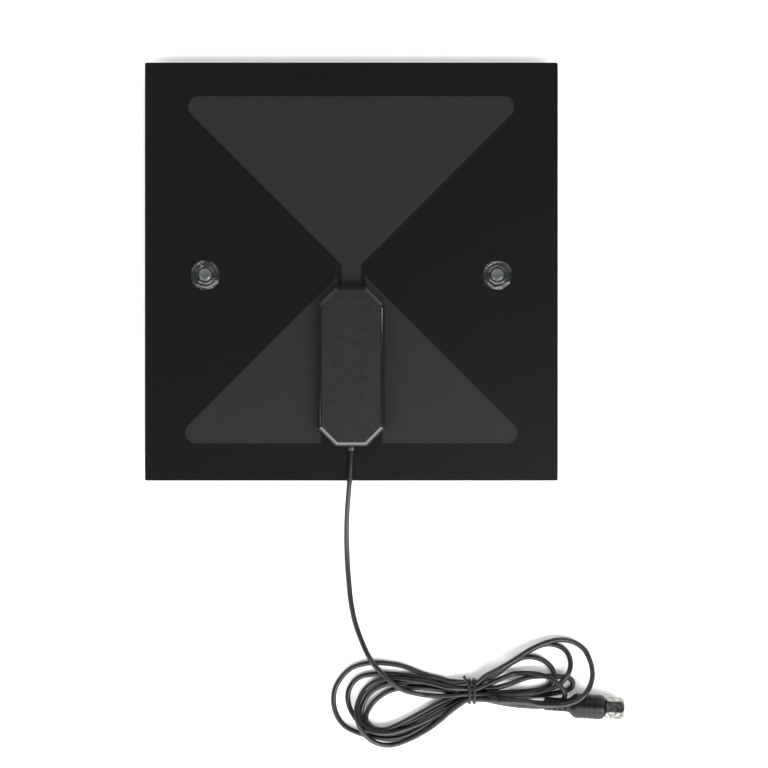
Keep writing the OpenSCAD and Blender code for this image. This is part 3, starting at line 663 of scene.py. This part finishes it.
sheet_low, sheet_high = box_mm("front_film")
screws_low, screws_high = box_mm("housing_screws")
contacts_low, contacts_high = box_mm("foil_contacts")
left_cup_low, left_cup_high = box_mm("suction_cup_left")
SCREW_HEAD_R = 2.4
CONTACT_R = 2.0
cup_x = -(left_cup_low.x + left_cup_high.x) / 2
cup_y = (left_cup_low.y + left_cup_high.y) / 2
screw_spots = [(x, y) for x in (screws_low.x + SCREW_HEAD_R, screws_high.x - SCREW_HEAD_R)
               for y in (screws_low.y + SCREW_HEAD_R, screws_high.y - SCREW_HEAD_R)]
contact_spots = [(0, contacts_low.y + CONTACT_R), (0, contacts_high.y - CONTACT_R)]
BOSS_HOLE_R, CUP_HOLE_R, RIVET_HOLE_R = 3.2, 3.4, 1.05
film_holes = ([ring(p, BOSS_HOLE_R) for p in screw_spots]
              + [ring((side * cup_x, cup_y), CUP_HOLE_R) for side in (-1, 1)]
              + [ring(p, RIVET_HOLE_R) for p in contact_spots])
FILM_T = 0.15
SHEET_CORNER_R = 1.0
front_film = plate("smoked_front_film", rounded_rectangle(sheet_low, sheet_high, SHEET_CORNER_R),
                   film_holes, sheet_high.z - FILM_T, sheet_high.z)
wear(front_film, pet_smoked)
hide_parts("front_film")
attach(front_film, "antenna")
print("sheet, mm:", [round(v, 1) for v in sheet_high - sheet_low])

# %% [markdown]
# ## Housing
# The CAD shells are right inside and out, but their edges are knife-sharp, and it is the small rounding
# of a moulded edge that catches the light. A copy of the shell gets its doubles merged and its flat
# faces joined, and a Bevel modifier rounds only the outer edges, which an edge weight picks out.

# %% Rounded copies of CAD shells
SAME_POINT = 0.002
FLAT, EDGE = math.radians(0.8), math.radians(12)


def rounded_copy(node, name, width, share, finish, body="antenna", segments=3):
    """A copy of a CAD node with rounded edges. share gives an edge's part of the width, from its ends."""
    work = bmesh.new()
    work.from_mesh(nodes[node].data)
    bmesh.ops.remove_doubles(work, verts=work.verts, dist=SAME_POINT * MM)
    bmesh.ops.dissolve_limit(work, angle_limit=FLAT, verts=work.verts, edges=work.edges)
    weights = work.edges.layers.float.new("bevel_weight_edge")
    count = 0
    for edge in work.edges:
        a, b = (v.co / MM for v in edge.verts)
        if len(edge.link_faces) == 2 and edge.calc_face_angle(0) > EDGE:
            edge[weights] = share(a, b)
            count += edge[weights] > 0
    piece = placed(name, finished(work, name))
    smooth(piece, 30)
    bevel = piece.modifiers.new("rounding", "BEVEL")
    bevel.limit_method = "WEIGHT"
    bevel.width = width * MM
    bevel.segments = segments
    bevel.harden_normals = True
    apply_modifiers(piece)
    wear(piece, finish)
    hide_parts(node)
    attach(piece, body)
    print(name, "rounded edges:", count, "faces:", len(piece.data.polygons))
    return piece


# %% Housing shells
cover_low, cover_high = box_mm("housing_cover")
base_low, base_high = box_mm("housing_base")
HOUSING_W = cover_high.x - cover_low.x
HOUSING_L = cover_high.y - cover_low.y
HOUSING_Y = (cover_low.y + cover_high.y) / 2
CORNER_LEG = 10.3
BEVEL_RUN, BEVEL_RISE = 2.3, 2.0
BASE_BEVEL = 1.4
BARELY = 0.4       # share of the rounding on an edge that is barely broken
NEAR = 0.06        # how close two places are to count as the same
CLEAR = 1          # how far an edge reaches from the sheet to count as clear of it


def depth_in_housing(point):
    """How far a point lies inside the housing's outline."""
    x, y = abs(point.x), abs(point.y - HOUSING_Y)
    cut = (HOUSING_W / 2 + HOUSING_L / 2 - CORNER_LEG - x - y) / math.sqrt(2)
    return min(HOUSING_W / 2 - x, HOUSING_L / 2 - y, cut)


def cover_share(a, b):
    """The face's edge is barely broken. The outer edge of the slope is rounded two and a half times."""
    if min(a.z, b.z) > cover_high.z - NEAR:
        return BARELY if all(abs(depth_in_housing(p) - BEVEL_RUN) < NEAR for p in (a, b)) else 0
    outside = depth_in_housing(a) < NEAR and depth_in_housing(b) < NEAR
    if outside and max(a.z, b.z) > sheet_high.z + CLEAR:
        return 1
    return BARELY if on_slope_corner(a, b) else 0


def on_slope_corner(a, b):
    """Tells whether an edge is one of the slope's corners, which run from the face to the outside."""
    return min(a.z, b.z) > cover_high.z - BEVEL_RISE - NEAR and min(map(depth_in_housing, (a, b))) < NEAR


def on_base(point):
    """Tells whether a point lies on one of the outer edges of the rear shell."""
    if point.z < base_low.z + NEAR:
        return abs(depth_in_housing(point) - BASE_BEVEL) < NEAR
    return depth_in_housing(point) < NEAR


def base_share(a, b):
    """The rear shell's outer edges are rounded, apart from the one that meets the sheet."""
    return on_base(a) and on_base(b) and min(a.z, b.z) < base_high.z - CLEAR


cover = rounded_copy("housing_cover", "housing_cover_shell", 0.75, cover_share, abs_textured)
base = rounded_copy("housing_base", "housing_base_shell", 0.4, base_share, abs_textured)

# %% [markdown]
# ## Polished slope
# The slope round the cover's face takes the polished material. A face belongs to the slope when it leans
# as the slope does and lies between the slope's two heights, on the outside. The polish covers about
# three fifths of the slope, from the face outward, and the material itself fades it below that.

# %% Polished slope
POLISHED_SHARE = 0.62
SLOPE_LEAN = (0.68, 0.83)  # how far up the faces of the slope look
cover.data.materials.append(polished_abs(cover_high.z - POLISHED_SHARE * BEVEL_RISE))
for face in cover.data.polygons:
    middle = face.center / MM
    outward = depth_in_housing(middle) < BEVEL_RUN and cover_high.z - middle.z < BEVEL_RISE + 0.4
    if outward and SLOPE_LEAN[0] < face.normal.z < SLOPE_LEAN[1]:
        face.material_index = 1

# %% [markdown]
# ## Grommet
# The grommet is soft PVC like the jacket. Its end is moulded round, so the edges outside the housing are
# rounded by three tenths of a millimetre.

# %% Grommet
def outside_housing(a, b):
    """Tells whether an edge of the grommet lies outside the housing's wall."""
    return max(a.y, b.y) < cover_low.y + 0.1


grommet = rounded_copy("cable_grommet", "moulded_grommet", 0.3, outside_housing, pvc_jacket)

# %% [markdown]
# ## Suction cups
# A suction cup is turned: one outline, spun round its axis. The knob in front has three ridges, and each
# has a sloping side that catches the front light as a bright arc. It needs many more facets than the CAD
# model gives it.

# %% A turned piece
def lathe(name, outline, centre, segments=96):
    """Spins (radius, height) points round a vertical axis. The outline starts and ends on the axis."""
    points = [(centre[0], centre[1], outline[0][1])]
    faces = []
    rings = outline[1:-1]
    for radius, height in rings:
        points += [(x, y, height) for x, y in ring(centre, radius, segments)]
    points.append((centre[0], centre[1], outline[-1][1]))
    last = len(points) - 1
    for i in range(segments):
        j = (i + 1) % segments
        faces.append((0, 1 + j, 1 + i))
        for k in range(len(rings) - 1):
            low, high = 1 + k * segments, 1 + (k + 1) * segments
            faces.append((low + i, low + j, high + j, high + i))
        top = 1 + (len(rings) - 1) * segments
        faces.append((top + i, top + j, last))
    return new_piece(name, points, faces)


def rounded_line(points, steps):
    """A smooth line through the corners of an outline."""
    line = []
    last = len(points) - 1
    for k in range(last):
        corners = [np.array(points[min(max(k + d, 0), last)]) for d in (-1, 0, 1, 2)]
        line += [tuple(catmull_rom(*corners, i / steps)) for i in range(steps)]
    return line + [tuple(points[-1])]


# %% Cups
CUP_R = 15
CUP_HOLLOW = 3
CUP_LIP = 1
CUP_NECK_R = 3.2
KNOB_R = 8.5
KNOB_H = 4.2
KNOB_RINGS = [
    (1, 0), (1, 0.12), (0.98, 0.17), (0.93, 0.2), (0.91, 0.22), (0.9, 0.33), (0.82, 0.48), (0.79, 0.5),
    (0.68, 0.52), (0.66, 0.54), (0.65, 0.65), (0.57, 0.79), (0.54, 0.81), (0.42, 0.83), (0.4, 0.86),
    (0.3, 0.96), (0.26, 0.98), (0.15, 1), (0.05, 1)]
FILM_GAP = 0.02     # how far the knob floats above the film
RIM_H = 0.5         # height of the cup's rim
HOLLOW_STEPS, DOME_STEPS = 12, 16
cup_back = left_cup_low.z
film_back = box_mm("back_film")[0].z
mouth = CUP_R - CUP_LIP
knob_base = sheet_high.z + FILM_GAP
hollow = [(mouth * i / HOLLOW_STEPS, cup_back + CUP_HOLLOW * (1 - (i / HOLLOW_STEPS) ** 2))
          for i in range(1, HOLLOW_STEPS + 1)]
dome = [(CUP_R - (CUP_R - CUP_NECK_R - 2) * i / DOME_STEPS,
         cup_back + RIM_H + (film_back - cup_back - RIM_H) * math.sin(math.pi / 2 * i / DOME_STEPS))
        for i in range(DOME_STEPS + 1)]
neck = [(CUP_NECK_R, film_back), (CUP_NECK_R, knob_base)]
knob = rounded_line([(KNOB_R * r, knob_base + KNOB_H * h) for r, h in KNOB_RINGS], 4)
cup_outline = ([(0, cup_back + CUP_HOLLOW)] + hollow + [(CUP_R, cup_back)] + dome + neck + knob
               + [(0, knob[-1][1])])
for side, word in ((-1, "left"), (1, "right")):
    cup = lathe("clear_cup_" + word, cup_outline, (side * cup_x, cup_y))
    smooth(cup, 50)
    wear(cup, pvc_clear)
    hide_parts("suction_cup_" + word)
    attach(cup, "antenna")
print("cup faces:", len(cup.data.polygons))

# %% [markdown]
# ## Geometry Nodes: how they are used here
# Three things on the antenna repeat or follow a path: the wraps of the tie, the four screws and the
# thread in the nut. Each has a small node group with named inputs. The group is put on an empty object,
# its inputs are set, and the result is kept as a plain mesh.

# %% Node group helpers
def node_group(name, inputs):
    """A geometry node group with named inputs. Returns the group, its input sockets and its output node."""
    group = bpy.data.node_groups.new(name, "GeometryNodeTree")
    for label, kind in inputs.items():
        group.interface.new_socket(label, in_out="INPUT", socket_type="NodeSocket" + kind)
    group.interface.new_socket("Geometry", in_out="OUTPUT", socket_type="NodeSocketGeometry")
    return group, group.nodes.new("NodeGroupInput").outputs, group.nodes.new("NodeGroupOutput")


def step(group, kind, inputs=None, **settings):
    """Adds a node and gives its first output, for the next node to take in."""
    return add(group, kind, inputs, **settings).outputs[0]


def close_group(group, out, shape, material):
    """Ends a group: its instances are made real and get their material."""
    real = step(group, "GeometryNodeRealizeInstances", {"Geometry": shape})
    done = step(group, "GeometryNodeSetMaterial", {"Geometry": real, "Material": material})
    group.links.new(done, out.inputs[0])
    return group


def grown(name, group, values):
    """Runs a node group with these input values and keeps the result as a mesh object."""
    piece = placed(name, bpy.data.meshes.new(name))
    modifier = piece.modifiers.new("grow", "NODES")
    modifier.node_group = group
    for item in group.interface.items_tree:
        if item.item_type == "SOCKET" and item.in_out == "INPUT":
            modifier[item.identifier] = values[item.name]
    apply_modifiers(piece)
    return piece


# %% [markdown]
# ## Twist tie
# A twist tie is a flat plastic strip round a thin wire. It goes twice round the hank, and its two ends
# are twisted together and bent up. The wraps are a flat outline swept round a rounded rectangle. The
# twisted end is the same idea with a straight path whose tilt grows along it.

# %% Twist tie
STRIP_ROUND, TWIN_ROUND = 0.3, 0.45   # rounding of the strip and of the twisted pair
TWIN_FLATNESS = 0.62                  # height of the pair for its width


def tie_group():
    group, given, out = node_group("twist_tie", {
        "Bundle Width": "Float", "Bundle Height": "Float", "Bundle Radius": "Float", "Strip Width": "Float",
        "Strip Thickness": "Float", "Wraps": "Int", "Wrap Pitch": "Float", "Centre": "Vector",
        "End Start": "Vector", "End Tip": "Vector", "End Width": "Float", "End Turns": "Float",
        "Material": "Material"})
    path = step(group, "GeometryNodeCurvePrimitiveQuadrilateral", {
        "Width": given["Bundle Width"], "Height": given["Bundle Height"]})
    path = step(group, "GeometryNodeFilletCurve", {
        "Curve": path, "Radius": given["Bundle Radius"], "Count": 8}, mode="POLY")
    strip = step(group, "GeometryNodeCurvePrimitiveQuadrilateral", {
        "Width": given["Strip Thickness"], "Height": given["Strip Width"]})
    strip = step(group, "GeometryNodeFilletCurve", {
        "Curve": strip, "Radius": STRIP_ROUND * MM, "Count": 3}, mode="POLY")
    wrap = step(group, "GeometryNodeCurveToMesh", {"Curve": path, "Profile Curve": strip})
    upright = step(group, "GeometryNodeTransform", {
        "Geometry": wrap, "Rotation": (math.pi / 2, 0, math.pi / 2)})
    pitch = step(group, "ShaderNodeCombineXYZ", {"X": given["Wrap Pitch"]})
    row = step(group, "GeometryNodeMeshLine", {"Count": given["Wraps"], "Offset": pitch}, mode="OFFSET")
    half = step(group, "ShaderNodeVectorMath", {0: pitch, 1: (0.5, 0.5, 0.5)}, operation="MULTIPLY")
    start = step(group, "ShaderNodeVectorMath", {0: given["Centre"], 1: half}, operation="SUBTRACT")
    row = step(group, "GeometryNodeSetPosition", {"Geometry": row, "Offset": start})
    wraps = step(group, "GeometryNodeInstanceOnPoints", {"Points": row, "Instance": upright})
    line = step(group, "GeometryNodeCurvePrimitiveLine", {
        "Start": given["End Start"], "End": given["End Tip"]})
    line = step(group, "GeometryNodeResampleCurve", {"Curve": line, "Count": 40})
    along = step(group, "GeometryNodeSplineParameter")
    tilt = step(group, "ShaderNodeMath", {0: along, 1: given["End Turns"]}, operation="MULTIPLY")
    tilt = step(group, "ShaderNodeMath", {0: tilt, 1: 2 * math.pi}, operation="MULTIPLY")
    line = step(group, "GeometryNodeSetCurveTilt", {"Curve": line, "Tilt": tilt})
    flat = step(group, "ShaderNodeMath", {0: given["End Width"], 1: TWIN_FLATNESS}, operation="MULTIPLY")
    twin = step(group, "GeometryNodeCurvePrimitiveQuadrilateral", {
        "Width": given["End Width"], "Height": flat})
    twin = step(group, "GeometryNodeFilletCurve", {
        "Curve": twin, "Radius": TWIN_ROUND * MM, "Count": 4}, mode="POLY")
    end = step(group, "GeometryNodeCurveToMesh", {
        "Curve": line, "Profile Curve": twin, "Fill Caps": True})
    both = add(group, "GeometryNodeJoinGeometry")
    group.links.new(wraps, both.inputs[0])
    group.links.new(end, both.inputs[0])
    return close_group(group, out, both.outputs[0], given["Material"])


TIE_T = 0.7
BUNDLE_HALF = 6.7
tie_low, tie_high = 0.0, 9.6
tie = grown("twist_tie_strip", tie_group(), {
    "Bundle Width": (2 * BUNDLE_HALF + TIE_T) * MM, "Bundle Height": (tie_high - tie_low - TIE_T) * MM,
    "Bundle Radius": 2.85 * MM, "Strip Width": 1.9 * MM, "Strip Thickness": TIE_T * MM, "Wraps": 2,
    "Wrap Pitch": 2.8 * MM, "Centre": Vector((TIE_X, TIE_Y, (tie_low + tie_high) / 2)) * MM,
    "End Start": Vector((TIE_X - 1.4, TIE_Y + 2.6, 9.5)) * MM,
    "End Tip": Vector((TIE_X - 4.9, TIE_Y + 9.4, 9.9)) * MM, "End Width": 2.0 * MM, "End Turns": 1.5,
    "Material": polyethylene_tie})
smooth(tie, 50)
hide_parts("twist_tie")
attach(tie, "antenna")
tie_size = np.ptp([v.co for v in tie.data.vertices], axis=0) / MM
print("tie, mm:", tie_size.round(1), "faces:", len(tie.data.polygons))

# %% [markdown]
# ## Screws
# Four pan-head screws hold the shells together from the back. One screw is turned on the lathe and gets
# a cross cut into its head. The node group stands a copy of it on each corner of a two by two grid.

# %% Screws
def screw_group():
    group, given, out = node_group("screw_rows", {
        "Screw": "Object", "Across": "Float", "Along": "Float", "Centre": "Vector", "Material": "Material"})
    grid = step(group, "GeometryNodeMeshGrid", {
        "Size X": given["Across"], "Size Y": given["Along"], "Vertices X": 2, "Vertices Y": 2})
    spots = step(group, "GeometryNodeSetPosition", {"Geometry": grid, "Offset": given["Centre"]})
    screw = add(group, "GeometryNodeObjectInfo", {"Object": given["Screw"], "As Instance": True})
    four = step(group, "GeometryNodeInstanceOnPoints", {
        "Points": spots, "Instance": screw.outputs["Geometry"]})
    return close_group(group, out, four, given["Material"])


SHANK_R = 1.3
HEAD_H = 1.5
CROSS_SIZE = (2.9, 0.8, 1.6)  # length, width and twice the depth of each cut


def one_screw():
    """A screw with its head at height 0, a rounded rim below and a cross in the head."""
    tall = screws_high.z - screws_low.z
    outline = [(0, 0), (1.5, 0.02), (1.95, 0.12), (2.25, 0.35), (SCREW_HEAD_R, 0.65), (SCREW_HEAD_R, HEAD_H),
               (SHANK_R, HEAD_H), (SHANK_R, tall), (0, tall)]
    screw = lathe("screw", outline, (0, 0), 32)
    cutter = bmesh.new()
    for turn in (0, math.pi / 2):
        size = Matrix.Diagonal((*(c * MM for c in CROSS_SIZE), 1))
        bmesh.ops.create_cube(cutter, size=1, matrix=Matrix.Rotation(turn, 4, "Z") @ size)
    cross = placed("cross", finished(cutter, "cross"))
    cut = screw.modifiers.new("cross", "BOOLEAN")
    cut.object = cross
    cut.use_self = True
    apply_modifiers(screw)
    bpy.data.objects.remove(cross)
    return screw


screw = one_screw()
across = screws_high.x - screws_low.x - 2 * SCREW_HEAD_R
along = screws_high.y - screws_low.y - 2 * SCREW_HEAD_R
screws = grown("cross_head_screws", screw_group(), {
    "Screw": screw, "Across": across * MM, "Along": along * MM,
    "Centre": Vector((0, (screws_low.y + screws_high.y) / 2, screws_low.z)) * MM, "Material": zinc})
bpy.data.objects.remove(screw)
smooth(screws, 35)
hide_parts("housing_screws")
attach(screws, "antenna")
print("screws, mm apart:", round(across, 1), round(along, 1), "faces:", len(screws.data.polygons))

# %% [markdown]
# ## Plug
# The grip and its strain relief are one soft moulding, so its grooves and slots have slightly rounded
# edges. The nut is turned and milled brass: its edges are broken by about a tenth of a millimetre, and its
# thread is a ridge that follows a helix, made from a spiral path by Geometry Nodes.

# %% Plug grip
plug_start = Vector(TAIL[-1])
plug_frame = (Matrix.Translation(plug_start) @ Matrix.Rotation(PLUG_TURN, 4, "Z")
              @ Matrix.Rotation(math.radians(90), 4, "Y"))
to_plug = plug_frame.inverted()
BROKEN_EDGE = 0.12


def on_grip(a, b):
    """Tells whether an edge lies on the outside of the grip, clear of the bore and of the rear end."""
    places = [to_plug @ p for p in (a, b)]
    return all(math.hypot(p.x, p.y) > 3.0 and p.z > 0.3 for p in places)


grip = rounded_copy("plug_boot", "plug_grip", BROKEN_EDGE, on_grip, pvc_grip, segments=2)


# %% Nut and its thread
def thread_group():
    group, given, out = node_group("thread", {
        "Radius": "Float", "Pitch": "Float", "Turns": "Float", "Ridge": "Float", "Start": "Float"})
    tall = step(group, "ShaderNodeMath", {0: given["Pitch"], 1: given["Turns"]}, operation="MULTIPLY")
    helix = step(group, "GeometryNodeCurveSpiral", {
        "Resolution": 48, "Rotations": given["Turns"], "Start Radius": given["Radius"],
        "End Radius": given["Radius"], "Height": tall})
    ridge = step(group, "GeometryNodeCurvePrimitiveCircle", {"Resolution": 4, "Radius": given["Ridge"]})
    mesh = step(group, "GeometryNodeCurveToMesh", {
        "Curve": helix, "Profile Curve": ridge, "Fill Caps": True})
    lift = step(group, "ShaderNodeCombineXYZ", {"Z": given["Start"]})
    moved = step(group, "GeometryNodeTransform", {"Geometry": mesh, "Translation": lift})
    group.links.new(moved, out.inputs[0])
    return group


def every_edge(a, b):
    """The nut is rounded on all its edges."""
    return True


nut = rounded_copy("coupling_nut", "hexagonal_nut", BROKEN_EDGE, every_edge, nickel, body="nut", segments=2)
thread = grown("thread", thread_group(), {
    "Radius": 4.42 * MM, "Pitch": 0.794 * MM, "Turns": 7.0, "Ridge": 0.3 * MM, "Start": 39.6 * MM})
place_metres = plug_frame.copy()
place_metres.translation = plug_start * MM
thread.data.transform(place_metres)
joined = bmesh.new()
joined.from_mesh(nut.data)
joined.from_mesh(thread.data)
joined.to_mesh(nut.data)
joined.free()
bpy.data.objects.remove(thread)
print("nut faces:", len(nut.data.polygons))

# %% [markdown]
# ## Cable: its ends
# The tie and the plug's pieces go where the cable goes.

# %% [markdown]
# ## Studio
# The photograph is a product shot on white. The sloping edge at the housing's foot, the cable and the
# nut all shine on the side near the viewer's feet, so the main light is a long, low box on that side. A
# smaller box above it and a small key lamp help it. Four boxes beyond the corners whiten the paper.

# %% Floor and light
FLOOR_HALF, FLOOR_LEVEL = 2500, -0.4
floor_corners = [(x * FLOOR_HALF, y * FLOOR_HALF, FLOOR_LEVEL)
                 for x, y in ((-1, -1), (1, -1), (1, 1), (-1, 1))]
floor = new_piece("floor", floor_corners, [(0, 1, 2, 3)], smooth=False)
white, _, _ = new_material("white_paper_sweep", "#F6F6F6", 0.8)
wear(floor, white)


def softbox(name, place, target, size, power):
    """A rectangular light at a place in metres, turned to face a target."""
    data = bpy.data.lights.new(name, "AREA")
    data.shape = "RECTANGLE"
    data.size, data.size_y = size
    data.energy = power
    lamp = placed(name, data)
    lamp.location = place
    lamp.rotation_euler = (Vector(place) - Vector(target)).to_track_quat("Z", "Y").to_euler()


softbox("front_strip", (0.05, -1.25, 0.34), (0, -0.05, 0), (3.6, 0.6), 42)
softbox("film_box", (0.4, -0.75, 1.3), (0.1, -0.05, 0), (1.3, 0.5), 17)
softbox("key_lamp", (0.2, -0.95, 0.72), (0, -0.05, 0), (0.22, 0.22), 1.6)
softbox("left_box", (-1.2, -0.95, 1.15), (0, -0.06, 0), (0.9, 0.9), 17)
softbox("right_box", (1.2, -0.95, 1.15), (0, -0.06, 0), (0.9, 0.9), 23)
softbox("left_high", (-1.1, 1.15, 1.0), (0, -0.06, 0), (1.7, 1.7), 21)
softbox("right_high", (1.15, 1.15, 1.0), (0, -0.06, 0), (1.7, 1.7), 21)
world = bpy.data.worlds.new("studio")
bpy.context.scene.world = world
world.use_nodes = True
sky = world.node_tree.nodes["Background"]
sky.inputs["Color"].default_value = (0.8, 0.8, 0.8, 1)
sky.inputs["Strength"].default_value = 0.24
bpy.context.scene.view_settings.view_transform = "Standard"
